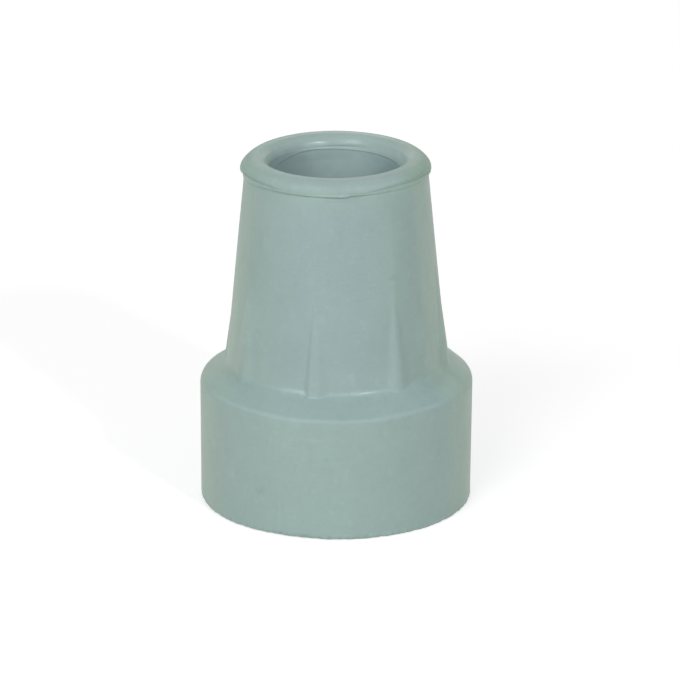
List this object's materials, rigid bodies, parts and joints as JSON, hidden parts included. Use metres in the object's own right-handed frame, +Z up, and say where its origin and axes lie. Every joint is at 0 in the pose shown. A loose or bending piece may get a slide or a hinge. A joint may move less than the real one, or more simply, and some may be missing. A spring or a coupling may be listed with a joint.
{
  "type": "rubber cane tip",
  "caption": "Moulded rubber tip for a walking cane: round foot, tapered ribbed socket and a rolled lip around a blind press-fit bore.",
  "frame": {"origin": "centre of the flat sole that stands on the ground", "axes": "+Z up along the bore, from the sole towards the mouth; -Y is the side that the main view looks at"},
  "size_m": [0.038, 0.038, 0.0498],
  "materials": {
    "rubber": "satin"
  },
  "bodies": {
    "root": {"rubber_tip": "rubber"}
  },
  "joints": []
}
